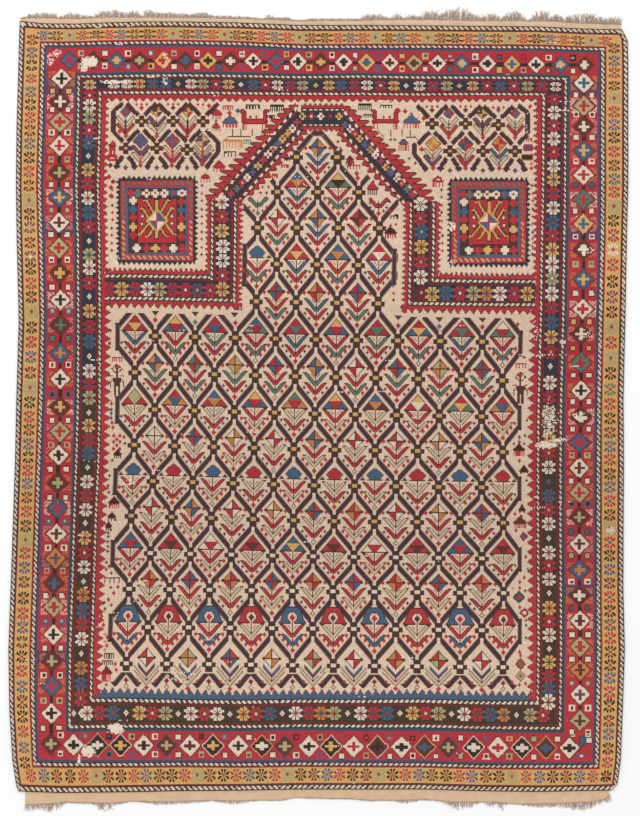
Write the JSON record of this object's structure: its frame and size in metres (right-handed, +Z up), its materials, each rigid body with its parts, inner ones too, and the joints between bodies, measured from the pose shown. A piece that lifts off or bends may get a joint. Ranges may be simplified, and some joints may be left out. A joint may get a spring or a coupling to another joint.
{
  "type": "shirvan rug",
  "caption": "Small hand-knotted wool prayer rug lying flat: niche and flower lattice on an ivory field, patterned borders, plain-woven end strips and short uneven fringes.",
  "frame": {"origin": "on the floor under the middle of the whole rug, fringes included", "axes": "+X across the rug, +Y along it towards the niche end, +Z up from the floor"},
  "size_m": [1.2406, 1.6172, 0.0053],
  "materials": {
    "pile": "low, worn knotted wool pile with a matte face",
    "end_weave": "undyed plain weave and loose warp ends, matte"
  },
  "bodies": {
    "root": {"rug_body": "pile", "end_strip_upper": "end_weave", "end_strip_lower": "end_weave"}
  },
  "joints": []
}
